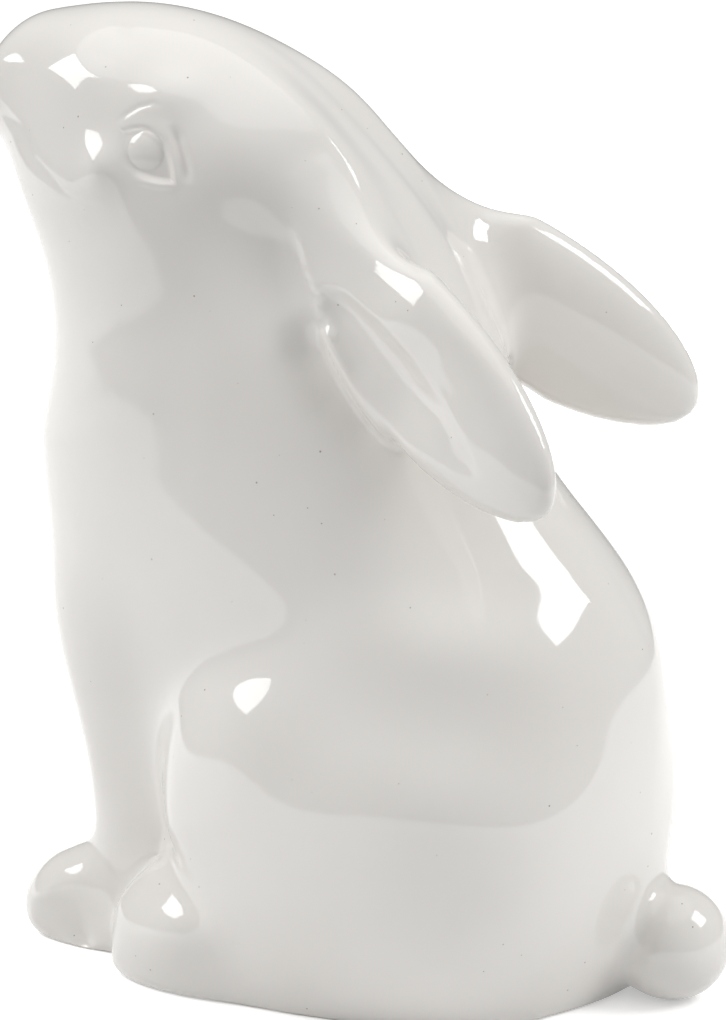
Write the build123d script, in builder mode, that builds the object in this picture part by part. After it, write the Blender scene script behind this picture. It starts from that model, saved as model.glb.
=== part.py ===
"""Seated rabbit ornament in white glazed ceramic, looking up with its ears laid back.

The rabbit faces -Y, its left side is +X and it stands on Z = 0.
It is made of separate castings that are stuck together with slip.
Each smaller casting is cut to fit the larger one that it sits on.
"""

import os
from math import cos, radians, sin

from build123d import *

# Torso and head
shoulder_height = 66.0
rump_reach = 39.0
chest_reach = 42.0
torso_width = 44.0
neck_turn_reach = 62.0
head_reach = 86.0
head_width = 36.0
neck_seam_rise = 3.0
wall = 4.0
floor_thickness = 5.0
foot_rim = 5.0
foot_recess = 0.8
vent_diameter = 3.5

# Height, back, front and width of each level section of the torso
torso_shares = (
    (0.00, 0.90, 0.48, 0.90),
    (0.05, 0.94, 0.55, 0.98),
    (0.15, 0.97, 0.58, 1.02),
    (0.30, 1.00, 0.62, 1.00),
    (0.52, 1.00, 0.78, 0.98),
    (0.70, 0.93, 0.945, 1.00),
    (0.85, 0.77, 0.99, 1.01),
    (1.00, 0.57, 1.00, 0.99),
)
# Angle of each section about the neck turn, with its throat, crown and width
head_shares = (
    (15, 0.260, 0.912, 1.18),
    (30, 0.299, 0.851, 1.07),
    (45, 0.345, 0.796, 0.97),
    (57, 0.389, 0.720, 0.78),
    (66.5, 0.437, 0.643, 0.55),
)
# The same for the rounded nose, which closes in its tip
nose_shares = (
    (69.6, 0.452, 0.616, 0.48),
    (71.6, 0.480, 0.582, 0.32),
    (72.5, 0.508, 0.554, 0.14),
)
nose_tip_angle = 72.7
nose_tip_share = 0.531

# Ears
ear_root_side = 7.0
ear_root_angle = 31.4
ear_root_share = 0.715
ear_length = 56.0
ear_width = 19.5
ear_thickness = 9.0
ear_splay_angle = 157.5
ear_droop_angle = 33.0
ear_face_share = 0.15
# Place along the ear, width and thickness of each section
ear_shares = (
    (0.00, 0.55, 0.80),
    (0.15, 0.72, 0.95),
    (0.31, 0.88, 1.00),
    (0.48, 1.00, 1.00),
    (0.66, 0.98, 0.92),
    (0.81, 0.82, 0.76),
    (0.92, 0.56, 0.54),
    (0.975, 0.32, 0.32),
)
concha_length = 37.0
concha_width = 11.2
concha_depth = 3.0
concha_drop = 1.5
concha_share = 0.60

# Eyes
eye_radius = 2.5
eye_stand = 0.5
socket_radius = 4.6
socket_depth = 1.2
eye_angle = 43
eye_reach_share = 0.645
eye_side_share = 0.917
eye_up_share = 0.30
eye_ahead_share = 0.33

# Forelegs and forepaws
foreleg_side = 7.2
foreleg_forward = 26.0
foreleg_height = 50.0
foreleg_radius = 6.8
# Height, forward place and radius of each section
foreleg_shares = (
    (0.00, 1.04, 0.95),
    (0.20, 1.03, 0.92),
    (0.42, 1.01, 1.02),
    (0.68, 1.07, 1.22),
    (1.00, 1.07, 1.32),
)
forepaw_side = 8.2
forepaw_lead = 6.2
forepaw_height = 5.0
forepaw_width = 13.6
forepaw_tall = 15.0
forepaw_front = 10.5
forepaw_rear = 9.0
forepaw_dip_angle = 18.0

# Haunches and hind feet
haunch_side = 11.0
haunch_back = 16.0
haunch_height = 21.0
haunch_width = 37.0
haunch_tall = 50.0
haunch_front = 36.0
haunch_rear = 20.0
haunch_splay_angle = 13.0
haunch_lift_angle = 15.0
hind_foot_side = 16.0
hind_foot_forward = 10.0
hind_foot_height = 5.0
hind_foot_width = 18.0
hind_foot_tall = 25.0
hind_foot_front = 17.0
hind_foot_rear = 18.0
hind_foot_splay_angle = 2.0
hind_foot_dip_angle = 8.0

# Tail
tail_stand = 2.0
tail_height = 7.0
tail_radius = 7.2

# Turns at which an egg is drawn, from its rear end to its front end
egg_turns = (-75, -55, -30, 0, 30, 55, 75)

# Room by which a cut runs past what it cuts
overrun = 2.0


def turned(angle):
    """Direction from the neck turn towards the back of a section."""
    return Vector(0, cos(radians(angle)), sin(radians(angle)))


def turn_plane(angle, distance):
    """Plane of a head section, centred at a distance from the neck turn."""
    centre = Vector(0, -neck_turn_reach, shoulder_height) + turned(angle) * distance
    return Plane(centre, x_dir=(1, 0, 0), z_dir=turned(angle + 90))


def torso_section(row, level, inset):
    """One level section of the torso."""
    back = row[1] * rump_reach - inset
    front = row[2] * chest_reach - inset
    with BuildSketch(Plane((0, (back - front) / 2, level))) as section:
        Ellipse(row[3] * torso_width / 2 - inset, (back + front) / 2)
    return section.sketch


def head_section(row, inset):
    """One turned section of the head."""
    throat = row[1] * head_reach + inset
    crown = row[2] * head_reach - inset
    with BuildSketch(turn_plane(row[0], (throat + crown) / 2)) as section:
        Ellipse(row[3] * head_width / 2 - inset, (crown - throat) / 2)
    return section.sketch


def heading(splay, lift):
    """Forward direction, turned outwards and raised."""
    level = cos(radians(lift))
    return Vector(sin(radians(splay)) * level, -cos(radians(splay)) * level, sin(radians(lift)))


def egg_sections(centre, way, rear, front, width, tall):
    """Sections of an egg that points one way, closed at both ends."""
    plane = Plane(centre, x_dir=(-way.Y, way.X, 0), z_dir=way)
    sections = [Vertex(plane.offset(-rear).origin)]
    for turn in egg_turns:
        along = (front if turn > 0 else rear) * sin(radians(turn))
        size_share = cos(radians(turn))
        with BuildSketch(plane.offset(along)) as section:
            Ellipse(size_share * width / 2, size_share * tall / 2)
        sections.append(section.sketch)
    return sections + [Vertex(plane.offset(front).origin)]


os.makedirs("parts", exist_ok=True)

# Outer form of torso and head in one sweep
with BuildPart() as body:
    torso_sections = [torso_section(row, row[0] * shoulder_height, 0) for row in torso_shares]
    head_sections = [head_section(row, 0) for row in head_shares + nose_shares]
    nose_tip = Vertex(turn_plane(nose_tip_angle, nose_tip_share * head_reach).origin)
    loft(torso_sections + head_sections + [nose_tip])

# Hollow that is left when the slip is poured out
with BuildPart() as cavity:
    hollow_sections = [torso_section(torso_shares[1], floor_thickness, wall)]
    hollow_sections += [torso_section(row, row[0] * shoulder_height, wall) for row in torso_shares[2:]]
    loft(hollow_sections + [head_section(row, wall) for row in head_shares])

neck_seam = Plane.XY.offset(shoulder_height + neck_seam_rise)

# Torso casting, open at the neck, with a foot rim and a firing vent
base_recess = torso_section(torso_shares[0], 0, foot_rim)
with BuildPart() as torso_shell:
    add(body.part)
    add(cavity.part, mode=Mode.SUBTRACT)
    split(bisect_by=neck_seam, keep=Keep.BOTTOM)
    extrude(base_recess, amount=foot_recess, mode=Mode.SUBTRACT)
    with BuildSketch(Plane(base_recess.center())):
        Circle(vent_diameter / 2)
    extrude(amount=floor_thickness + overrun, mode=Mode.SUBTRACT)
torso_shell.part.label = "torso_shell"
export_step(torso_shell.part, "parts/torso_shell.step")

# Head casting, open at the neck, with a hollow for each eye
eye_side = eye_side_share * head_width / 2
eye_place = turn_plane(eye_angle, eye_reach_share * head_reach).origin + Vector(eye_side, 0, 0)
eye_lean = turned(eye_angle) * eye_up_share + turned(eye_angle + 90) * eye_ahead_share
eye_way = (Vector(1, 0, 0) + eye_lean).normalized()
socket_place = eye_place + eye_way * (socket_radius - socket_depth)
with BuildPart() as head_shell:
    add(body.part)
    add(cavity.part, mode=Mode.SUBTRACT)
    split(bisect_by=neck_seam, keep=Keep.TOP)
    with Locations(socket_place, (-socket_place.X, socket_place.Y, socket_place.Z)):
        Sphere(socket_radius, mode=Mode.SUBTRACT)
head_shell.part.label = "head_shell"
export_step(head_shell.part, "parts/head_shell.step")

# Eyes, each a bead that fills the bottom of its hollow
eye_across = Vector(0, 0, 1).cross(eye_way)
eye_plane = Plane(eye_place, x_dir=eye_across, z_dir=eye_across.cross(eye_way))
with BuildPart() as left_eye:
    with BuildSketch(eye_plane):
        with Locations((0, eye_stand - eye_radius)):
            Circle(eye_radius)
        with Locations((0, socket_radius - socket_depth)):
            Circle(socket_radius, mode=Mode.INTERSECT)
        split(bisect_by=Plane.YZ)
    revolve(axis=Axis(eye_place, eye_way))
left_eye.part.label = "left_eye"
export_step(left_eye.part, "parts/left_eye.step")

with BuildPart() as right_eye:
    mirror(left_eye.part, about=Plane.YZ)
right_eye.part.label = "right_eye"
export_step(right_eye.part, "parts/right_eye.step")

# Ears, each a solid leaf with a hollow in its outer face
ear_root = turn_plane(ear_root_angle, ear_root_share * head_reach).origin + Vector(ear_root_side, 0, 0)
ear_way = heading(ear_splay_angle, -ear_droop_angle)
ear_plane = Plane(ear_root, x_dir=ear_way.cross(Vector(1, 0, -ear_face_share)), z_dir=ear_way)
ear_sections = []
for along_share, width_share, thickness_share in ear_shares:
    with BuildSketch(ear_plane.offset(along_share * ear_length)) as ear_section:
        Ellipse(width_share * ear_width / 2, thickness_share * ear_thickness / 2)
    ear_sections.append(ear_section.sketch)
ear_tip = Vertex(ear_plane.offset(ear_length).origin)
concha_out = (ear_thickness + concha_width) / 2 - concha_depth
concha_place = ear_plane.from_local_coords(Vector(concha_drop, -concha_out, concha_share * ear_length))
concha_sections = egg_sections(
    concha_place, ear_way, concha_length / 2, concha_length / 2, concha_width, concha_width
)
with BuildPart() as left_ear:
    loft(ear_sections + [ear_tip])
    loft(concha_sections, mode=Mode.SUBTRACT)
    add(body.part, mode=Mode.SUBTRACT)
left_ear.part.label = "left_ear"
export_step(left_ear.part, "parts/left_ear.step")

with BuildPart() as right_ear:
    mirror(left_ear.part, about=Plane.YZ)
right_ear.part.label = "right_ear"
export_step(right_ear.part, "parts/right_ear.step")

# Forelegs, which meet at the middle under the chest
with BuildPart() as left_foreleg:
    for height_share, forward_share, radius_share in foreleg_shares:
        leg_forward = forward_share * foreleg_forward
        with BuildSketch(Plane((foreleg_side, -leg_forward, height_share * foreleg_height))):
            Circle(radius_share * foreleg_radius)
    loft()
    split(bisect_by=Plane.YZ, keep=Keep.TOP)
    add(body.part, mode=Mode.SUBTRACT)
left_foreleg.part.label = "left_foreleg"
export_step(left_foreleg.part, "parts/left_foreleg.step")

with BuildPart() as right_foreleg:
    mirror(left_foreleg.part, about=Plane.YZ)
right_foreleg.part.label = "right_foreleg"
export_step(right_foreleg.part, "parts/right_foreleg.step")

# Forepaws
forepaw_place = Vector(forepaw_side, -foreleg_forward - forepaw_lead, forepaw_height)
forepaw_sections = egg_sections(
    forepaw_place, heading(0, -forepaw_dip_angle), forepaw_rear, forepaw_front, forepaw_width, forepaw_tall
)
with BuildPart() as left_forepaw:
    loft(forepaw_sections)
    split(bisect_by=Plane.XY, keep=Keep.TOP)
    add(body.part, mode=Mode.SUBTRACT)
    add(left_foreleg.part, mode=Mode.SUBTRACT)
left_forepaw.part.label = "left_forepaw"
export_step(left_forepaw.part, "parts/left_forepaw.step")

with BuildPart() as right_forepaw:
    mirror(left_forepaw.part, about=Plane.YZ)
right_forepaw.part.label = "right_forepaw"
export_step(right_forepaw.part, "parts/right_forepaw.step")

# Haunches
haunch_place = Vector(haunch_side, haunch_back, haunch_height)
haunch_way = heading(haunch_splay_angle, haunch_lift_angle)
haunch_sections = egg_sections(
    haunch_place, haunch_way, haunch_rear, haunch_front, haunch_width, haunch_tall
)
with BuildPart() as left_haunch:
    loft(haunch_sections)
    split(bisect_by=Plane.XY, keep=Keep.TOP)
    add(body.part, mode=Mode.SUBTRACT)
left_haunch.part.label = "left_haunch"
export_step(left_haunch.part, "parts/left_haunch.step")

with BuildPart() as right_haunch:
    mirror(left_haunch.part, about=Plane.YZ)
right_haunch.part.label = "right_haunch"
export_step(right_haunch.part, "parts/right_haunch.step")

# Hind feet
hind_foot_place = Vector(hind_foot_side, -hind_foot_forward, hind_foot_height)
hind_foot_way = heading(hind_foot_splay_angle, -hind_foot_dip_angle)
hind_foot_sections = egg_sections(
    hind_foot_place, hind_foot_way, hind_foot_rear, hind_foot_front, hind_foot_width, hind_foot_tall
)
with BuildPart() as left_hind_foot:
    loft(hind_foot_sections)
    split(bisect_by=Plane.XY, keep=Keep.TOP)
    add(body.part, mode=Mode.SUBTRACT)
    add(left_haunch.part, mode=Mode.SUBTRACT)
    add(left_foreleg.part, mode=Mode.SUBTRACT)
    add(left_forepaw.part, mode=Mode.SUBTRACT)
left_hind_foot.part.label = "left_hind_foot"
export_step(left_hind_foot.part, "parts/left_hind_foot.step")

with BuildPart() as right_hind_foot:
    mirror(left_hind_foot.part, about=Plane.YZ)
right_hind_foot.part.label = "right_hind_foot"
export_step(right_hind_foot.part, "parts/right_hind_foot.step")

# Tail
with BuildPart() as tail:
    with Locations((0, rump_reach + tail_stand, tail_height)):
        Sphere(tail_radius)
    split(bisect_by=Plane.XY, keep=Keep.TOP)
    add(body.part, mode=Mode.SUBTRACT)
tail.part.label = "tail"
export_step(tail.part, "parts/tail.step")
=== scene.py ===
import math

import bmesh
import bpy
import numpy as np
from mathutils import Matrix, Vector
from mathutils.bvhtree import BVHTree


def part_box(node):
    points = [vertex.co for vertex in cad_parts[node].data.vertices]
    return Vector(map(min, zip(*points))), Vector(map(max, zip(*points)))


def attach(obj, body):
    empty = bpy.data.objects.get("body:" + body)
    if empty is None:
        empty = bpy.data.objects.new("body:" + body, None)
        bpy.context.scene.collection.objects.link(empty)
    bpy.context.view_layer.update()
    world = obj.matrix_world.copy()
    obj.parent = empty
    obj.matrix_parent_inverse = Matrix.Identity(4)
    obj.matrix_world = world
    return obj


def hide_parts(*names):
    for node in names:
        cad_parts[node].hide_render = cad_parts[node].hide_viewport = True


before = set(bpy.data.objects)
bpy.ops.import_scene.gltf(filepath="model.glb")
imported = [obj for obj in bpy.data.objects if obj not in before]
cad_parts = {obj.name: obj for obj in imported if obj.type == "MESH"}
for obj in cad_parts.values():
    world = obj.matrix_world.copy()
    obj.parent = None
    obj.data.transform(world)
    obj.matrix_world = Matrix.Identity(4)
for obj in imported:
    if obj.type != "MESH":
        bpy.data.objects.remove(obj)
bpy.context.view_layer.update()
mm = 0.001
stage = bpy.context.scene
sides = ("left_", "right_")


def report(words):
    print("rabbit:", words, flush=True)


# Camera of the photo: the side view that all the carved relief is drawn in
camera = {
    "turn": math.radians(23),
    "lift": math.radians(16),
    "distance": 650 * mm,
    "target": np.array((0, 0, 57.3 * mm)),
    "lens": 187.2,
    "sensor": 36,
    "clipStart": 10 * mm,
    "sight": (0.05, 0.3),
}


def heading(turn, lift):
    return np.array((math.cos(lift) * math.cos(turn), math.cos(lift) * math.sin(turn), math.sin(lift)))


outward = heading(camera["turn"], camera["lift"])
rightward = np.array((-math.sin(camera["turn"]), math.cos(camera["turn"]), 0))
upward = np.cross(outward, rightward)


def seen(points):
    # millimetres right and up of the target in the side view, for either side of the rabbit
    near = points.copy()
    near[:, 0] = np.abs(near[:, 0])
    away = near - camera["target"]
    zoom = camera["distance"] / (camera["distance"] - away @ outward) / mm
    return np.stack([away @ rightward * zoom, away @ upward * zoom], axis=1)


def stepShare(values, low, high):
    share = np.clip((values - low) / (high - low), 0, 1)
    return share * share * (3 - 2 * share)


def window(values, rise, fall):
    # fades in over one span and out over another
    return np.minimum(stepShare(values, *rise), 1 - stepShare(values, *fall))


def bell(values, width):
    return np.exp(-(values / width) ** 2 / 2)


# Glaze skin: one smooth surface over all castings, as the glaze pools in their creases
skin = {
    "weld": 0.001 * mm,
    "seatGap": 0.03 * mm,
    "plugSide": 7.0 * mm,
    "plugFlat": 0.5,
    "plugLift": 3.0 * mm,
    "voxel": 0.55 * mm,
    "reach": 17.0 * mm,
    "fillMargin": 1.0 * mm,
    "touch": 0.02 * mm,
    "insideCosine": -0.5,
    "pulls": 3,
    "pullMost": 1.5 * mm,
    "pullRounds": 3,
    "fairRounds": 14,
    "fairPulls": (0.5, -0.53),
    "softPull": 0.5,
    "plateRounds": 260,
    "refineCurve": 0.8,
    "refineRounds": 12,
    "evenRounds": 20,
    "carvedRounds": 2,
    "footRound": 1.6 * mm,
    "footCore": 0.3,
    "footRounds": 14,
    "ventRadius": 1.75 * mm,
    "ventHeight": 3.0 * mm,
    "wall": 2.0 * mm,
    "cap": 1.5 * mm,
    "headCap": 7.0 * mm,
}
# How wide glaze and slip fill the crease round each casting, from its front to its back,
# and the span in Y over which that changes
creaseFill = {
    "foreleg": (7.0, 7.0, -30.0, -10.0),
    "haunch": (7.5, 13.0, -10.0, 12.0),
    "hind_foot": (4.5, 13.0, -16.0, 2.0),
    "forepaw": (5.0, 5.0, -40.0, -20.0),
    "ear": (5.0, 5.0, 0.0, 14.0),
    "tail": (3.4, 3.4, 0.0, 40.0),
}
stuckOn = [side + part for part in ("foreleg", "haunch", "hind_foot", "forepaw", "ear") for side in sides]
stuckOn.append("tail")


def kindOf(name):
    # a casting's name without its first word, which is the side where it has one
    return name.split("_", 1)[1] if "_" in name else name


def fillOf(name, points):
    front, back, start, end = creaseFill[kindOf(name)]
    return (front + (back - front) * stepShare(points[:, 1] / mm, start, end)) * mm


def reachOf(name):
    fills = creaseFill.get(kindOf(name))
    return max(fills[:2]) * mm + skin["fillMargin"] if fills else skin["reach"]


def mergedNode(name):
    copy = bmesh.new()
    copy.from_mesh(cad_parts[name].data)
    bmesh.ops.remove_doubles(copy, verts=copy.verts, dist=skin["weld"])
    return copy


castings = {name: mergedNode(name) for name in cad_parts}
wholeTrees = {name: BVHTree.FromBMesh(copy) for name, copy in castings.items()}
boxes = {name: tuple(np.array(corner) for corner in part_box(name)) for name in castings}


def openTree(name):
    # a stuck-on casting without the faces of its seat
    copy = castings[name].copy()
    hidden = []
    others = [tree for other, tree in wholeTrees.items() if other != name]
    for polygon in copy.faces:
        middle = polygon.calc_center_median()
        if any(tree.find_nearest(middle, skin["seatGap"])[0] is not None for tree in others):
            hidden.append(polygon)
    bmesh.ops.delete(copy, geom=hidden, context="FACES")
    opened = BVHTree.FromBMesh(copy)
    copy.free()
    return opened


trees = {name: openTree(name) for name in stuckOn}
trees["torso_shell"] = wholeTrees["torso_shell"]
trees["head_shell"] = wholeTrees["head_shell"]
report("castings read")


def unionMesh():
    # all castings and a plug in the vent, as one voxel skin
    joined = bmesh.new()
    for copy in castings.values():
        plain = bpy.data.meshes.new("plain")
        copy.to_mesh(plain)
        joined.from_mesh(plain)
        bpy.data.meshes.remove(plain)
    plug = bmesh.ops.create_cube(joined, size=skin["plugSide"])["verts"]
    for vert in plug:
        vert.co.z = vert.co.z * skin["plugFlat"] + skin["plugLift"]
    mesh = bpy.data.meshes.new("union")
    joined.to_mesh(mesh)
    joined.free()
    holder = bpy.data.objects.new("union", mesh)
    stage.collection.objects.link(holder)
    remesh = holder.modifiers.new("voxels", "REMESH")
    remesh.mode = "VOXEL"
    remesh.voxel_size = skin["voxel"]
    graph = bpy.context.evaluated_depsgraph_get()
    result = bpy.data.meshes.new_from_object(holder.evaluated_get(graph))
    bpy.data.objects.remove(holder)
    return result


def flood(start, neighbours):
    # everything that is linked to the start, in the order of its finding
    found = {start: True}
    edge = [start]
    while edge:
        ahead = []
        for item in edge:
            for other in neighbours(item):
                if other not in found:
                    found[other] = True
                    ahead.append(other)
        edge = ahead
    return list(found)


def outermost(mesh):
    # the connected surface that holds the highest point, without the hollow inside
    work = bmesh.new()
    work.from_mesh(mesh)
    top = max(work.verts, key=lambda vert: vert.co.z)
    found = set(flood(top, lambda vert: [link.other_vert(vert) for link in vert.link_edges]))
    bmesh.ops.delete(work, geom=[vert for vert in work.verts if vert not in found], context="VERTS")
    return work


def nearField(points, name):
    # signed distance to a casting and its slope, far points left at one metre
    low, high = boxes[name]
    reach = reachOf(name)
    gaps = np.full(len(points), 1.0)
    slopes = np.zeros((len(points), 3))
    near = np.all((points > low - reach) & (points < high + reach), axis=1)
    for index in np.nonzero(near)[0]:
        spot, normal, _, gap = trees[name].find_nearest(Vector(points[index]), reach)
        if spot is None:
            continue
        away = Vector(points[index]) - spot
        sign = -1.0 if away.dot(normal) < skin["insideCosine"] * gap else 1.0
        if gap > skin["touch"]:
            slopes[index] = away * (sign / gap)
        else:
            slopes[index] = normal
            sign = 1.0 if away.dot(normal) >= 0 else -1.0
        gaps[index] = sign * gap
    return gaps, slopes


def skinField(points):
    # union of all castings by a cubic smooth minimum, and each casting's own distance
    torsoGap, torsoSlope = nearField(points, "torso_shell")
    headGap, headSlope = nearField(points, "head_shell")
    own = {"torso_shell": torsoGap, "head_shell": headGap}
    nearer = headGap < torsoGap
    field = np.where(nearer, headGap, torsoGap)
    slope = np.where(nearer[:, None], headSlope, torsoSlope)
    for name in stuckOn:
        gap, away = nearField(points, name)
        own[name] = gap
        fill = fillOf(name, points)
        blend = np.clip(1 - np.abs(field - gap) / fill, 0, 1)
        weight = np.where(gap < field, 1 - blend ** 2 / 2, blend ** 2 / 2)
        field = np.minimum(field, gap) - blend ** 3 * fill / 6
        slope = slope * (1 - weight)[:, None] + away * weight[:, None]
    size = np.linalg.norm(slope, axis=1)
    return field, slope / np.maximum(size, 1e-9)[:, None], own


def pointsOf(work):
    return np.array([vert.co for vert in work.verts])


def setPoints(work, points):
    for vert, point in zip(work.verts, points):
        vert.co = point


def normalsOf(work):
    work.normal_update()
    return np.array([vert.normal for vert in work.verts])


def gather(keys, values, size):
    # sums the rows of values by their keys
    return np.stack([np.bincount(keys, values[:, axis], size) for axis in range(3)], axis=1)


class Net:
    # neighbour sums over a mesh, for smoothing
    def __init__(self, work):
        work.verts.index_update()
        pairs = np.array([[edge.verts[0].index, edge.verts[1].index] for edge in work.edges])
        self.start = np.concatenate([pairs[:, 0], pairs[:, 1]])
        self.end = np.concatenate([pairs[:, 1], pairs[:, 0]])
        self.count = np.maximum(np.bincount(self.start, minlength=len(work.verts)), 1)

    def mean(self, values):
        return gather(self.start, values[self.end], len(self.count)) / self.count[:, None]

    def fair(self, points, rounds):
        # smoothing that keeps the volume
        for turn in range(rounds):
            for pull in skin["fairPulls"]:
                points = points + (self.mean(points) - points) * pull
        return points

    def soften(self, points, rounds, share):
        # plain smoothing of the points that have a share
        spots = np.nonzero(share > 0)[0]
        place = np.full(len(points), -1)
        place[spots] = np.arange(len(spots))
        used = place[self.start] >= 0
        start, end = place[self.start[used]], self.end[used]
        points = points.copy()
        for turn in range(rounds):
            mean = gather(start, points[end], len(spots)) / self.count[spots][:, None]
            points[spots] += (mean - points[spots]) * skin["softPull"] * share[spots][:, None]
        return points

    def stretch(self, points, inside):
        # a thin plate over the points inside, held by the skin round them
        rows = inside.copy()
        rows[self.start[inside[self.end]]] = True
        held = rows.copy()
        held[self.end[rows[self.start]]] = True
        spots = np.nonzero(held)[0]
        place = np.full(len(points), -1)
        place[spots] = np.arange(len(spots))
        used = rows[self.start]
        start, end = place[self.start[used]], place[self.end[used]]
        size = len(spots)
        part = (1 / self.count[self.start[used]])[:, None]
        active = rows[spots].astype(float)[:, None]
        free = inside[spots].astype(float)[:, None]

        def bend(values):
            return values * active - gather(start, values[end] * part, size)

        def back(values):
            return (values * active - gather(end, values[start] * part, size)) * free

        tiny = 1e-30
        result = points[spots]
        rest = -bend(result)
        step = way = back(rest)
        power = (step ** 2).sum(axis=0)
        for turn in range(skin["plateRounds"]):
            bent = bend(way)
            pace = power / np.maximum((bent ** 2).sum(axis=0), tiny)
            result = result + way * pace
            rest = rest - bent * pace
            step = back(rest)
            fresh = (step ** 2).sum(axis=0)
            way = step + way * (fresh / np.maximum(power, tiny))
            power = fresh
        whole = points.copy()
        whole[spots] = result
        return whole


def refine(work, chosen):
    # halves the faces whose middle is chosen, on a curve between the normals
    middles = np.array([polygon.calc_center_median() for polygon in work.faces])
    picked = chosen(middles)
    edges = {edge for polygon, yes in zip(work.faces, picked) if yes for edge in polygon.edges}
    work.normal_update()
    bmesh.ops.subdivide_edges(work, edges=list(edges), cuts=1, use_grid_fill=True,
                              smooth=skin["refineCurve"], smooth_falloff="LINEAR")


work = outermost(unionMesh())
report(f"voxel skin with {len(work.verts)} points")
net = Net(work)
points = pointsOf(work)
for turn in range(skin["pulls"]):
    field, slope, own = skinField(points)
    points = points - np.clip(field, -skin["pullMost"], skin["pullMost"])[:, None] * slope
    points = net.fair(points, skin["pullRounds"])
points = net.fair(points, skin["fairRounds"])

# Sponge: what the potter evens out. Joins: width, rounds and the span in Y over which it starts.
# Places: middle in the side view, radius, rounds, the Y that it stays ahead of and the least X
sponge = {
    "joins": {
        "foreleg": (8.0, 150, (-60, -50)),
        "haunch": (14.0, 240, (-2, 10)),
        "ear": (5.5, 60, (-60, -50)),
    },
    "joinFoot": (0.5, 3),
    "saddleRounds": 420,
    "saddleGap": (4, 11),
    "saddleHalf": (10, 15),
    "saddleUp": (66, 76),
    "saddleBack": (4, 12),
    "places": (((-34.9, -51.2), 6, 180, -20, 0), ((-37.7, 14.7), 6, 180, -20, 0),
               ((-33.5, -40.0), 5, 30, -20, 0), ((-1.6, 32.5), 11, 300, 26, 6),
               ((-23.2, -31.0), 10, 110, 0, 0), ((-21.5, -43.5), 5, 40, 0, 0)),
    "placeFoot": (0.2, 1),
    "core": 0.4,
}
bodyGap = np.clip(np.minimum(own["torso_shell"], own["head_shell"]), 0, 1)
for part, (width, rounds, begin) in sponge["joins"].items():
    for side in sides:
        gap = np.clip(own[side + part], 0, 1) + bodyGap
        share = 1 - stepShare(gap / mm, sponge["core"] * width, width)
        share *= stepShare(points[:, 1] / mm, *begin) * stepShare(points[:, 2] / mm, *sponge["joinFoot"])
        points = net.soften(points, rounds, share)
castEarGap = np.minimum(own["left_ear"], own["right_ear"])
gap = np.clip(castEarGap, 0, 1) + bodyGap
share = 1 - stepShare(gap / mm, *sponge["saddleGap"])
share *= 1 - stepShare(np.abs(points[:, 0]) / mm, *sponge["saddleHalf"])
share *= stepShare(points[:, 2] / mm, *sponge["saddleUp"])
share *= stepShare(points[:, 1] / mm, *sponge["saddleBack"])
points = net.soften(points, sponge["saddleRounds"], share)
for place, radius, rounds, ahead, beside in sponge["places"]:
    gap = np.linalg.norm(seen(points) - place, axis=1)
    share = (1 - stepShare(gap, sponge["core"] * radius, radius)) * (points[:, 1] < ahead * mm)
    share *= stepShare(points[:, 2] / mm, *sponge["placeFoot"]) * (np.abs(points[:, 0]) >= beside * mm)
    points = net.soften(points, rounds, share)
low = 1 - stepShare(points[:, 2], skin["footCore"] * skin["footRound"], skin["footRound"])
points = net.soften(points, skin["footRounds"], low)
points[:, 2] = np.maximum(points[:, 2], 0)
setPoints(work, points)
labels = list(own)
distances = np.stack([own[name] for name in labels], axis=1)
partLayer = work.faces.layers.int.new("part")
for polygon in work.faces:
    loop = [vert.index for vert in polygon.verts]
    polygon[partLayer] = int(np.argmin(distances[loop].sum(axis=0)))
report("skin drawn over the castings")

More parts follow.
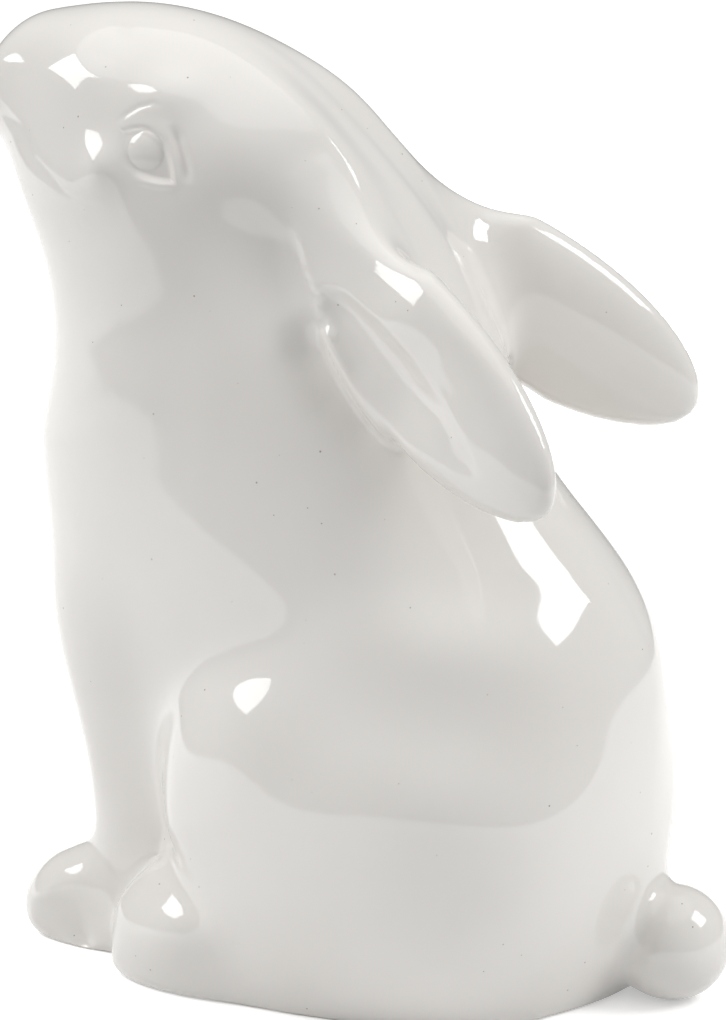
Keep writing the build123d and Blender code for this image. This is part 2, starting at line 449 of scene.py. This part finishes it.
# Face: places in the side view, millimetres from the middle of the eyeball. Along the opening of the
# eye, -1 is its front corner and 1 its rear corner. Lines: course, depth, width, and the shares of the
# course over which they start and end. Swells and hollows: middle, size, tilt in degrees and rise
face = {
    "ball": np.array((-26.6, 44.05)),
    "ballSize": np.array((2.15, 2.4)),
    "ballRise": 0.48,
    "ballRound": 0.9,
    "ballSeam": 1.08,
    "ballSight": 0.3,
    "socket": np.array((-0.2, 0.2)),
    "socketRadius": 5.6,
    "socketSight": 0.2,
    "opening": np.array((0.3, -0.85)),
    "tilt": math.radians(-45),
    "openLength": 4.6,
    "openWidth": 2.75,
    "rearPower": 1.7,
    "frontPower": 3.4,
    "openMost": 1.6,
    "recess": 0.55,
    "recessEdge": (-0.2, 1.0),
    "recessFront": 0.25,
    "recessSpan": (-0.7, 0.5),
    "lidEnds": (0.75, 1.25),
    "lidRise": 0.22,
    "lidAway": 0.8,
    "lidWidth": 0.75,
    "lidSpan": (-0.9, 0.2),
    "edgeDepth": 0.14,
    "edgeWidth": 0.22,
    "edgeSpan": (0.0, 0.5),
    "lowerRise": 0.16,
    "lowerAway": 0.3,
    "lowerWidth": 0.35,
    "lowerSpan": (-0.1, 0.6),
    "lines": {
        "crease": (((-3.8, 3.2), (-2.4, 4.4), (-0.8, 5.3), (1.0, 5.6), (2.4, 5.1)),
                   0.11, 0.27, (-0.02, 0.3), (0.7, 1.02)),
        "groove": (((3.0, 3.2), (3.9, 1.2), (4.5, -0.8), (4.8, -2.6), (4.9, -4.3)),
                   0.50, 0.55, (-0.02, 0.3), (0.7, 1.02)),
        "lip": (((-17.9, 4.9), (-15.6, 3.0), (-13.8, -0.8), (-9.1, -5.1), (-5.0, -7.0), (-1.7, -8.1)),
                0.15, 0.5, (-1.0, -0.5), (0.55, 1.0)),
        "muzzle": (((-2.0, 16.4), (-3.8, 13.5), (-5.4, 11.4), (-6.4, 8.6)),
                   0.30, 1.5, (0.0, 0.3), (0.6, 1.0)),
    },
    "hollows": (((16.5, -13.0), (8.0, 6.0), -25, -3.2),),
    "swells": (((3.2, 6.8), (2.8, 2.2), 0, 0.85), ((-5.3, -1.9), (1.5, 2.0), 0, 0.95),
               ((-8.0, -3.5), (4.0, 3.5), 0, 0.9), ((-8.6, 10.8), (3.8, 3.2), 0, 0.6),
               ((13.6, 0.0), (6.0, 6.0), 0, 1.2), ((23.0, 0.4), (9.0, 2.8), -55, 1.1),
               ((23.0, -9.0), (5.0, 5.0), 0, 1.2)),
    "swellBeside": (1, 7),
    "headAbove": 74 * mm,
    "headAhead": 8 * mm,
    "headBeside": 1.5 * mm,
    "carveUp": (68, 76),
    "carveBack": (12, 24),
    "carveBeside": (0.5, 2.5),
    "fineRadius": 9,
    "finestRadius": 6.6,
    "fineLip": 1.8,
}
# Ear: places in the side view, with the scoop's own axis from its root to the tip.
# The cast edges are those of the plain scoop in the casting
ear = {
    "root": np.array((-6.4, 27.7)),
    "way": np.array((0.695, -0.719)),
    "length": 31.5,
    "upper": ((0, 0.5), (3.3, 2.5), (9, 3.0), (15, 2.8), (22, 1.7), (28, 0.1), (31.5, -1.6)),
    "lower": ((0, -0.5), (2, -1.6), (6, -3.4), (11.6, -4.9), (18.4, -5.2), (23, -5.05), (27, -4.2),
              (31.5, -2.2)),
    "castLength": 37.5,
    "castUpper": ((0, 0.4), (3, 2.4), (8, 4.8), (14, 7.0), (20, 7.6), (26, 6.5), (32, 4.2), (37.5, 0.6)),
    "castLower": ((0, -0.4), (3, -3.0), (8, -4.6), (14, -5.0), (20, -5.2), (26, -4.9), (32, -3.6),
                  (37.5, -0.4)),
    "fillGap": 3.5 * mm,
    "fillSight": 0.5,
    "fillEven": 60,
    "fillPast": 1,
    "fillAcross": 1.15,
    "depth": 1.5,
    "rootSpan": (-0.5, 6.0),
    "tipShallow": 0.7,
    "shallowSpan": (0.2, 0.95),
    "bowlPower": 2.4,
    "bowlRound": 1.4,
    "tipSpan": (0.9, 1.02),
    "carveGap": (1.5 * mm, 3.5 * mm),
}


def lineGap(places, line):
    # distance to a polyline in the side view, and the share of the way along it
    line = np.array(line, float)
    lengths = np.linalg.norm(np.diff(line, axis=0), axis=1)
    total = lengths.sum()
    best = np.full(len(places), np.inf)
    along = np.zeros(len(places))
    passed = 0.0
    for start, end, length in zip(line[:-1], line[1:], lengths):
        share = np.clip((places - start) @ (end - start) / length ** 2, 0, 1)
        gap = np.linalg.norm(places - start - share[:, None] * (end - start), axis=1)
        closer = gap < best
        best[closer] = gap[closer]
        along[closer] = ((passed + share * length) / total)[closer]
        passed += length
    return best, along


def lineCut(places, course, depth, width, rise, fall):
    reach, share = lineGap(places, course)
    return depth * bell(reach, width) * window(share, rise, fall)


def tilted(places, angle):
    turned = np.array(((math.cos(angle), math.sin(angle)), (-math.sin(angle), math.cos(angle))))
    return places @ turned.T


def swelling(places, swells):
    lift = np.zeros(len(places))
    for middle, size, turn, rise in swells:
        offset = tilted(places - np.array(middle), math.radians(turn)) / np.array(size)
        lift += rise * bell(np.linalg.norm(offset, axis=1), 1)
    return lift


def facing(normals, points):
    # share of a point that the side view sees on the rabbit's near half, mirrored for the other
    flipped = normals.copy()
    flipped[:, 0] *= np.where(points[:, 0] < 0, -1, 1)
    return stepShare(flipped @ outward, *camera["sight"])


def evenNormals(work, rounds):
    ways = normalsOf(work)
    for turn in range(rounds):
        ways = net.mean(ways)
    return ways / np.linalg.norm(ways, axis=1)[:, None]


def isHead(points):
    across = np.abs(points[:, 0]) > face["headBeside"]
    return (points[:, 2] > face["headAbove"]) & (points[:, 1] < face["headAhead"]) & across


def nearEye(middles, radius):
    return np.linalg.norm(seen(middles) - face["ball"], axis=1) < radius


def nearLip(middles):
    return lineGap(seen(middles) - face["ball"], face["lines"]["lip"][0])[0] < face["fineLip"]


def scoopPlace(points, upper, lower):
    # along the ear, and across it from -1 at the scoop's lower edge to 1 at its upper edge
    offset = seen(points) - ear["root"]
    along = offset @ ear["way"]
    across = offset @ np.array((-ear["way"][1], ear["way"][0]))
    upper = np.interp(along, *zip(*upper))
    lower = np.interp(along, *zip(*lower))
    return along, (across - (upper + lower) / 2) / ((upper - lower) / 2)


# The plain sockets and scoops of the castings are filled before the finer ones are carved
places = seen(points) - face["ball"]
inside = (np.linalg.norm(places - face["socket"], axis=1) < face["socketRadius"]) & isHead(points)
inside &= facing(normalsOf(work), points) > face["socketSight"]
points = net.stretch(points, inside)
along, across = scoopPlace(points, ear["castUpper"], ear["castLower"])
scooped = facing(evenNormals(work, ear["fillEven"]), points) > ear["fillSight"]
scooped &= (castEarGap < ear["fillGap"]) & (np.abs(across) < ear["fillAcross"])
scooped &= (along > -ear["fillPast"]) & (along < ear["castLength"] + ear["fillPast"])
points = net.stretch(points, scooped)
setPoints(work, points)
report(f"{inside.sum()} points of the sockets and {scooped.sum()} of the scoops filled")

refine(work, lambda middles: isHead(middles) & (nearEye(middles, face["fineRadius"]) | nearLip(middles)))
refine(work, lambda middles: isHead(middles) & nearEye(middles, face["finestRadius"]))
net = Net(work)
points = net.fair(pointsOf(work), skin["refineRounds"])
points[:, 2] = np.maximum(points[:, 2], 0)
setPoints(work, points)
sight = facing(normalsOf(work), points)
report(f"skin refined to {len(work.verts)} points")


def carveFace(points):
    places = seen(points) - face["ball"]
    offset = tilted(places - face["opening"], face["tilt"])
    along = offset[:, 0] / face["openLength"]
    power = np.where(along > 0, face["rearPower"], face["frontPower"])
    edge = face["openWidth"] * (1 - np.abs(along).clip(0, face["openMost"]) ** power)
    steep = face["openWidth"] * power * np.abs(along).clip(0, 1) ** (power - 1) / face["openLength"]
    gap = (np.abs(offset[:, 1]) - edge) / np.sqrt(1 + steep ** 2)
    rear = stepShare(along, *face["recessSpan"])
    deep = face["recessFront"] + (1 - face["recessFront"]) * rear
    lift = -face["recess"] * stepShare(-gap, *face["recessEdge"]) * deep
    fade = 1 - stepShare(np.abs(along), *face["lidEnds"])
    above = fade * (offset[:, 1] > 0)
    below = fade * (offset[:, 1] <= 0)
    lid = bell(gap - face["lidAway"], face["lidWidth"]) * stepShare(along, *face["lidSpan"])
    rim = bell(gap, face["edgeWidth"]) * (1 - stepShare(along, *face["edgeSpan"]))
    lower = bell(gap - face["lowerAway"], face["lowerWidth"]) * stepShare(along, *face["lowerSpan"])
    lift += (face["lidRise"] * lid - face["edgeDepth"] * rim) * above + face["lowerRise"] * lower * below
    ball = np.linalg.norm(places / face["ballSize"], axis=1)
    lift += face["ballRise"] * np.clip(1 - ball ** 2, 0, 1) ** face["ballRound"]
    for line in face["lines"].values():
        lift -= lineCut(places, *line)
    lift += swelling(places, face["hollows"])
    lift += swelling(places, face["swells"]) * stepShare(np.abs(points[:, 0]) / mm, *face["swellBeside"])
    return lift * mm


def carveEar(points):
    along, across = scoopPlace(points, ear["upper"], ear["lower"])
    span = along / ear["length"]
    depth = ear["depth"] * (1 - ear["tipShallow"] * stepShare(span, *ear["shallowSpan"]))
    bowl = np.clip(1 - np.abs(across) ** ear["bowlPower"], 0, 1) ** ear["bowlRound"]
    return -depth * bowl * stepShare(along, *ear["rootSpan"]) * (1 - stepShare(span, *ear["tipSpan"])) * mm


# Body: places in the side view, millimetres from the target. Swells and the line as in the face
body = {
    "swells": (((11.5, -17.5), (13.0, 6.0), -8, 3.0), ((-15.3, -26.0), (5.0, 4.8), 0, 1.1),
               ((8.0, -36.0), (9.0, 6.0), -10, 1.3), ((-22.5, -51.5), (4.0, 2.8), 0, 1.7)),
    "underEar": (((-8.6, 25.0), (-6.6, 19.2), (-3.0, 14.0), (2.4, 8.4), (5.0, 5.4)),
                 2.0, 2.2, (0.0, 0.3), (0.7, 1.0)),
    "offEar": (0.2, 2.0),
    "neckLine": 20.2,
    "neckDepth": 2.2,
    "neckAbove": 7.5,
    "neckBelow": 14.0,
    "neckStart": (-38, -22),
    "neckEnd": (-18, 4),
}


def carveBody(points, earGap):
    places = seen(points)
    over = places[:, 1] - body["neckLine"]
    neck = bell(over, np.where(over > 0, body["neckAbove"], body["neckBelow"]))
    neck *= window(places[:, 0], body["neckStart"], body["neckEnd"])
    cut = lineCut(places, *body["underEar"]) + body["neckDepth"] * neck
    return (swelling(places, body["swells"]) - cut * stepShare(earGap / mm, *body["offEar"])) * mm


headShare = sight * stepShare(points[:, 2] / mm, *face["carveUp"])
headShare *= 1 - stepShare(points[:, 1] / mm, *face["carveBack"])
headShare *= stepShare(np.abs(points[:, 0]) / mm, *face["carveBeside"])
ways = evenNormals(work, skin["evenRounds"])
points = points + ways * (carveFace(points) * headShare)[:, None]
earGap = np.minimum(*[nearField(points, side + "ear")[0] for side in sides])
points = points + ways * (carveBody(points, earGap) * sight)[:, None]
onEar = 1 - stepShare(earGap, *ear["carveGap"])
points = points + ways * (carveEar(points) * onEar * sight)[:, None]
points = net.fair(points, skin["carvedRounds"])
points[:, 2] = np.maximum(points[:, 2], 0)
setPoints(work, points)
report("face, ears and body modelled")

# Pieces: the skin is parted again where its castings meet
ball = np.linalg.norm((seen(points) - face["ball"]) / face["ballSize"], axis=1)
onBall = (ball < face["ballSeam"]) & isHead(points) & (sight > face["ballSight"])
normals = normalsOf(work)
work.verts.index_update()
partLayer = work.faces.layers.int["part"]
parted = {name: [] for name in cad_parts}
for polygon in work.faces:
    loop = [vert.index for vert in polygon.verts]
    middle = points[loop].mean(axis=0)
    name = labels[polygon[partLayer]]
    if onBall[loop].sum() > len(loop) / 2:
        name = "left_eye" if middle[0] > 0 else "right_eye"
    vent = math.hypot(middle[0], middle[1]) < skin["ventRadius"] and middle[2] < skin["ventHeight"]
    if not vent:
        parted[name].append(loop)
report("skin parted into " + ", ".join(f"{name} {len(loops)}" for name, loops in parted.items()))


def patchesOf(loops):
    # connected patches of faces, the largest first
    owner = {}
    for number, loop in enumerate(loops):
        for index in loop:
            owner.setdefault(index, []).append(number)
    left = set(range(len(loops)))
    patches = []

    def beside(number):
        return [other for index in loops[number] for other in owner[index]]

    while left:
        patch = flood(left.pop(), beside)
        left.difference_update(patch)
        patches.append(patch)
    patches.sort(key=len, reverse=True)
    return [[loops[number] for number in patch] for patch in patches]


strays = []
for name, loops in parted.items():
    patches = patchesOf(loops)
    parted[name] = patches[0]
    strays += [(name, patch) for patch in patches[1:]]
for name, patch in strays:
    rim = {index for loop in patch for index in loop}
    touch = {other: sum(len(rim.intersection(loop)) for loop in loops)
             for other, loops in parted.items() if other != name}
    parted[max(touch, key=touch.get)] += patch
report(f"{len(strays)} stray patches handed over")


def ringPairs(ring):
    return zip(ring, ring[1:] + ring[:1])


def rimLoops(loops):
    # open edges in walking order
    ways = {}
    edges = set()
    for loop in loops:
        edges.update(ringPairs(loop))
    for start, end in edges:
        if (end, start) not in edges:
            ways.setdefault(start, []).append(end)
    rims = []
    while ways:
        start = next(iter(ways))
        rim = [start]
        while True:
            ends = ways[rim[-1]]
            ahead = ends.pop()
            if not ends:
                del ways[rim[-1]]
            if ahead == start:
                break
            rim.append(ahead)
        rims.append(rim)
    return rims


def buildPiece(name, loops, hollow):
    # the patch of skin of one casting, closed by an inner wall or by a cap on each rim
    indices = sorted({index for loop in loops for index in loop})
    place = {index: number for number, index in enumerate(indices)}
    spots = [tuple(points[index]) for index in indices]
    faces = [[place[index] for index in loop] for loop in loops]
    shown = len(faces)
    rims = rimLoops(faces)
    count = len(spots)
    if hollow:
        inside = points[indices] - normals[indices] * skin["wall"]
        inside[:, 2] = np.maximum(inside[:, 2], skin["wall"] / 2)
        spots += [tuple(spot) for spot in inside]
        faces += [[count + number for number in reversed(loop)] for loop in faces[:shown]]
        for rim in rims:
            for start, end in ringPairs(rim):
                faces.append([end, start, count + start, count + end])
    else:
        # the head's cap points into the head, the others' caps into their seats
        deep = skin["headCap"] if name == "head_shell" else -skin["cap"]
        heart = np.mean(spots, axis=0)
        for rim in rims:
            middle = np.mean([spots[number] for number in rim], axis=0)
            way = (heart - middle) / np.linalg.norm(heart - middle)
            spots.append(tuple(middle + way * deep))
            for start, end in ringPairs(rim):
                faces.append([end, start, len(spots) - 1])
    mesh = bpy.data.meshes.new(name + "_glazed")
    mesh.from_pydata(spots, [], faces)
    mesh.polygons.foreach_set("use_smooth", [True] * len(faces))
    corners = np.array([corner for loop in faces for corner in loop])
    owners = np.repeat(np.arange(len(faces)), [len(loop) for loop in faces])
    flat = np.array([polygon.normal for polygon in mesh.polygons])
    smooth = normals[indices]
    ways = flat[owners]
    outer = owners < shown
    ways[outer] = smooth[corners[outer]]
    if hollow:
        inner = (owners >= shown) & (owners < 2 * shown)
        ways[inner] = -smooth[corners[inner] - count]
    mesh.normals_split_custom_set(ways.tolist())
    mesh.materials.append(glaze)
    piece = bpy.data.objects.new(name + "_glazed", mesh)
    stage.collection.objects.link(piece)
    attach(piece, "root")
    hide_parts(name)


class Wire:
    # a shader socket that takes plain arithmetic
    def __init__(self, tree, socket):
        self.tree = tree
        self.socket = socket

    def node(self, kind, inputs, out=0, **settings):
        made = self.tree.nodes.new(kind)
        for key, value in settings.items():
            setattr(made, key, value)
        for key, value in inputs.items():
            if isinstance(value, Wire):
                self.tree.links.new(value.socket, made.inputs[key])
            else:
                made.inputs[key].default_value = value
        return Wire(self.tree, made.outputs[out])

    def sum(self, operation, first, second):
        return self.node("ShaderNodeMath", {0: first, 1: second}, operation=operation)

    def __add__(self, other):
        return self.sum("ADD", self, other)

    def __radd__(self, other):
        return self.sum("ADD", other, self)

    def __sub__(self, other):
        return self.sum("SUBTRACT", self, other)

    def __rsub__(self, other):
        return self.sum("SUBTRACT", other, self)

    def __mul__(self, other):
        return self.sum("MULTIPLY", self, other)

    def __rmul__(self, other):
        return self.sum("MULTIPLY", other, self)

    def __truediv__(self, other):
        return self.sum("DIVIDE", self, other)

    def __rtruediv__(self, other):
        return self.sum("DIVIDE", other, self)

    def ramp(self, low, high):
        return self.node("ShaderNodeMapRange", {"Value": self, "From Min": low, "From Max": high},
                         interpolation_type="SMOOTHSTEP")

    def blend(self, first, second):
        return self.node("ShaderNodeMix", {"Factor": self, 6: first, 7: second}, out=2, data_type="RGBA")

    def to(self, socket):
        self.tree.links.new(self.socket, socket)


def newMaterial(name):
    made = bpy.data.materials.new(name)
    made.use_nodes = True
    tree = made.node_tree
    spot = Wire(tree, tree.nodes.new("ShaderNodeTexCoord").outputs["Object"])
    return made, tree, tree.nodes["Principled BSDF"], spot


def grey(level):
    return (level, level, level, 1)


# Glaze: clear and glossy over a warm white body, bare clay where the foot stands
coat = {
    "lit": (0.841, 0.819, 0.786, 1),
    "thin": (0.828, 0.805, 0.770, 1),
    "thinSpan": (0.3, 0.75),
    "clay": (0.70, 0.66, 0.60, 1),
    "gloss": 0.045,
    "glossDrift": 0.03,
    "clayRough": 0.75,
    "bareSpan": (0.15 * mm, 0.30 * mm),
    "waveScale": 75,
    "waveDetail": 1.0,
    "peelScale": 650,
    "peelDetail": 2.0,
    "peelShare": 0.03,
    "waveHeight": 0.05 * mm,
    "refraction": 1.52,
}
glaze, tree, shader, spot = newMaterial("whiteGlaze")
height = spot.node("ShaderNodeSeparateXYZ", {0: spot}, out=2)
wave = spot.node("ShaderNodeTexNoise",
                 {"Vector": spot, "Scale": coat["waveScale"], "Detail": coat["waveDetail"]})
peel = spot.node("ShaderNodeTexNoise",
                 {"Vector": spot, "Scale": coat["peelScale"], "Detail": coat["peelDetail"]})
bare = 1 - height.ramp(*coat["bareSpan"])
glazed = wave.ramp(*coat["thinSpan"]).blend(coat["lit"], coat["thin"])
bare.blend(glazed, coat["clay"]).to(shader.inputs["Base Color"])
(coat["gloss"] + peel * coat["glossDrift"] + bare * coat["clayRough"]).to(shader.inputs["Roughness"])
shader.inputs["IOR"].default_value = coat["refraction"]
relief = wave + peel * coat["peelShare"]
bump = relief.node("ShaderNodeBump", {"Height": relief, "Strength": 1.0, "Distance": coat["waveHeight"]})
bump.to(shader.inputs["Normal"])

for name, loops in parted.items():
    buildPiece(name, loops, name == "torso_shell")
report("pieces closed")

# Specks: sparse iron spots in the glaze, scattered by rule over the skin
specks = {
    "density": 9000.0,
    "spacing": 2.2 * mm,
    "radius": 0.10 * mm,
    "flat": 0.22,
    "seed": 5,
    "least": 0.45,
    "most": 1.25,
    "subdivisions": 2,
    "dark": (0.36, 0.33, 0.29, 1),
    "pale": (0.56, 0.53, 0.48, 1),
    "toneScale": 220.0,
    "toneSpan": (0.3, 0.7),
    "roughness": 0.12,
}
speckGlaze, tree, shader, spot = newMaterial("ironSpeck")
tone = spot.node("ShaderNodeTexNoise", {"Vector": spot, "Scale": specks["toneScale"]})
tone.ramp(*specks["toneSpan"]).blend(specks["dark"], specks["pale"]).to(shader.inputs["Base Color"])
shader.inputs["Roughness"].default_value = specks["roughness"]


def scatterSpecks(source):
    group = bpy.data.node_groups.new("speckScatter", "GeometryNodeTree")
    interface = group.interface
    interface.new_socket("Geometry", in_out="INPUT", socket_type="NodeSocketGeometry")
    values = {}
    for label, kind, value in (("Density", "NodeSocketFloat", specks["density"]),
                               ("Spacing", "NodeSocketFloat", specks["spacing"]),
                               ("Radius", "NodeSocketFloat", specks["radius"]),
                               ("Flatness", "NodeSocketFloat", specks["flat"]),
                               ("Seed", "NodeSocketInt", specks["seed"])):
        values[interface.new_socket(label, in_out="INPUT", socket_type=kind).identifier] = value
    interface.new_socket("Geometry", in_out="OUTPUT", socket_type="NodeSocketGeometry")
    nodes = group.nodes
    link = group.links.new
    given = nodes.new("NodeGroupInput").outputs
    spread = nodes.new("GeometryNodeDistributePointsOnFaces")
    spread.distribute_method = "POISSON"
    link(given["Geometry"], spread.inputs["Mesh"])
    link(given["Spacing"], spread.inputs["Distance Min"])
    link(given["Density"], spread.inputs["Density Max"])
    link(given["Seed"], spread.inputs["Seed"])
    bead = nodes.new("GeometryNodeMeshIcoSphere")
    bead.inputs["Subdivisions"].default_value = specks["subdivisions"]
    link(given["Radius"], bead.inputs["Radius"])
    size = nodes.new("FunctionNodeRandomValue")
    size.data_type = "FLOAT"
    size.inputs["Min"].default_value = specks["least"]
    size.inputs["Max"].default_value = specks["most"]
    link(given["Seed"], size.inputs["Seed"])
    squash = nodes.new("ShaderNodeCombineXYZ")
    squash.inputs[0].default_value = 1
    squash.inputs[1].default_value = 1
    link(given["Flatness"], squash.inputs[2])
    scaled = nodes.new("ShaderNodeVectorMath")
    scaled.operation = "SCALE"
    link(squash.outputs[0], scaled.inputs[0])
    link(next(end for end in size.outputs if end.enabled), scaled.inputs["Scale"])
    put = nodes.new("GeometryNodeInstanceOnPoints")
    link(spread.outputs["Points"], put.inputs["Points"])
    link(bead.outputs["Mesh"], put.inputs["Instance"])
    link(spread.outputs["Rotation"], put.inputs["Rotation"])
    link(scaled.outputs[0], put.inputs["Scale"])
    real = nodes.new("GeometryNodeRealizeInstances")
    link(put.outputs["Instances"], real.inputs["Geometry"])
    paint = nodes.new("GeometryNodeSetMaterial")
    paint.inputs["Material"].default_value = speckGlaze
    link(real.outputs["Geometry"], paint.inputs["Geometry"])
    link(paint.outputs["Geometry"], nodes.new("NodeGroupOutput").inputs["Geometry"])
    holder = bpy.data.objects.new("glaze_specks", source)
    stage.collection.objects.link(holder)
    modifier = holder.modifiers.new("scatter", "NODES")
    modifier.node_group = group
    for identifier, value in values.items():
        modifier[identifier] = value
    graph = bpy.context.evaluated_depsgraph_get()
    result = bpy.data.meshes.new_from_object(holder.evaluated_get(graph))
    holder.modifiers.clear()
    holder.data = result
    result.polygons.foreach_set("use_smooth", [True] * len(result.polygons))
    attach(holder, "root")
    return holder


source = bpy.data.meshes.new("speckGround")
work.to_mesh(source)
specksPiece = scatterSpecks(source)
report(f"specks of {len(specksPiece.data.polygons)} faces scattered")

# Stage: the photo's camera, two softboxes, a dim surround, a pale floor and a room for the glaze to mirror
lens = bpy.data.cameras.new("camera")
lens.lens = camera["lens"]
lens.sensor_fit = "VERTICAL"
lens.sensor_height = camera["sensor"]
lens.clip_start = camera["clipStart"]
cameraObject = bpy.data.objects.new("camera", lens)
stage.collection.objects.link(cameraObject)
cameraObject.location = camera["target"] + outward * camera["distance"]
cameraObject.rotation_euler = Vector(outward).to_track_quat("Z", "Y").to_euler()
stage.camera = cameraObject

# Softboxes: degrees to the right of the camera and up, side of the square and radiance
softboxes = {"leftSoftbox": (-88, 43, 0.44, 7.0), "rightSoftbox": (82, 40, 0.38, 9.0)}
softboxDistance = 0.95
for name, (turn, lift, side, radiance) in softboxes.items():
    way = Vector(heading(camera["turn"] + math.radians(turn), math.radians(lift)))
    lamp = bpy.data.lights.new(name, "AREA")
    lamp.shape = "SQUARE"
    lamp.size = side
    lamp.energy = radiance * math.pi * side * side
    holder = bpy.data.objects.new(name, lamp)
    stage.collection.objects.link(holder)
    holder.location = Vector(camera["target"]) + way * softboxDistance
    holder.rotation_euler = way.to_track_quat("Z", "Y").to_euler()


def direct(tree):
    # one for camera, glossy and transmitted rays
    paths = tree.nodes.new("ShaderNodeLightPath").outputs
    rays = [Wire(tree, paths[f"Is {kind} Ray"]) for kind in ("Camera", "Glossy", "Transmission")]
    total = rays[0] + rays[1] + rays[2]
    return total.node("ShaderNodeClamp", {0: total})


# White for what the camera and the glaze see, dim and top-lit for what lights the rabbit
surround = {"horizon": grey(0.04), "overhead": grey(0.80), "seen": grey(1)}
world = bpy.data.worlds.new("surround")
stage.world = world
world.use_nodes = True
tree = world.node_tree
sky = Wire(tree, tree.nodes.new("ShaderNodeTexCoord").outputs["Generated"])
lifted = sky.node("ShaderNodeSeparateXYZ", {0: sky}, out=2).ramp(0.0, 1.0)
dim = lifted.blend(surround["horizon"], surround["overhead"])
direct(tree).blend(dim, surround["seen"]).to(tree.nodes["Background"].inputs["Color"])


def stageMesh(name, spots, faces, material):
    mesh = bpy.data.meshes.new(name)
    mesh.from_pydata(spots, [], faces)
    mesh.materials.append(material)
    holder = bpy.data.objects.new(name, mesh)
    stage.collection.objects.link(holder)
    return holder


# Floor: a white table of limited size that stays white to the camera beyond its edge
floor = {
    "half": 4,
    "edge": (0.42, 0.52),
    "pale": grey(0.88),
    "beyond": grey(0.10),
    "glow": grey(0.42),
    "roughness": 0.9,
    "specular": 0.1,
}
pale, tree, shader, spot = newMaterial("paleFloor")
far = spot.node("ShaderNodeVectorMath", {0: spot}, out=1, operation="LENGTH").ramp(*floor["edge"])
far.blend(floor["pale"], floor["beyond"]).to(shader.inputs["Base Color"])
shader.inputs["Roughness"].default_value = floor["roughness"]
shader.inputs["Specular IOR Level"].default_value = floor["specular"]
shader.inputs["Emission Strength"].default_value = 1
cameraRay = Wire(tree, tree.nodes.new("ShaderNodeLightPath").outputs["Is Camera Ray"])
seenFar = cameraRay.blend(grey(0), grey(1))
seenNear = direct(tree).blend(grey(0), floor["glow"])
far.blend(seenNear, seenFar).to(shader.inputs["Emission Color"])
half = floor["half"]
stageMesh("floor", [(-half, -half, 0), (half, -half, 0), (half, half, 0), (-half, half, 0)],
          [(0, 1, 2, 3)], pale)

# Room: the dim studio wall, which only the glaze mirrors
room = {"radius": 2.2, "foot": 1 * mm, "height": 3.4, "sides": 64, "level": 0.14}
wall, tree, shader, spot = newMaterial("roomWall")
shader.inputs["Base Color"].default_value = grey(0)
shader.inputs["Specular IOR Level"].default_value = 0
shader.inputs["Emission Color"].default_value = grey(room["level"])
shader.inputs["Emission Strength"].default_value = 1
count = room["sides"]
angles = [2 * math.pi * number / count for number in range(count)]
ring = [(room["radius"] * math.cos(angle), room["radius"] * math.sin(angle)) for angle in angles]
spots = [(x, y, z) for z in (room["foot"], room["height"]) for x, y in ring]
faces = [(start, end, end + count, start + count) for start, end in ringPairs(list(range(count)))]
roomPiece = stageMesh("room", spots, faces, wall)
roomPiece.visible_camera = False
roomPiece.visible_diffuse = False
roomPiece.visible_shadow = False
roomPiece.visible_transmission = False
stage.view_settings.view_transform = "Standard"

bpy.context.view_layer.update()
report("done")
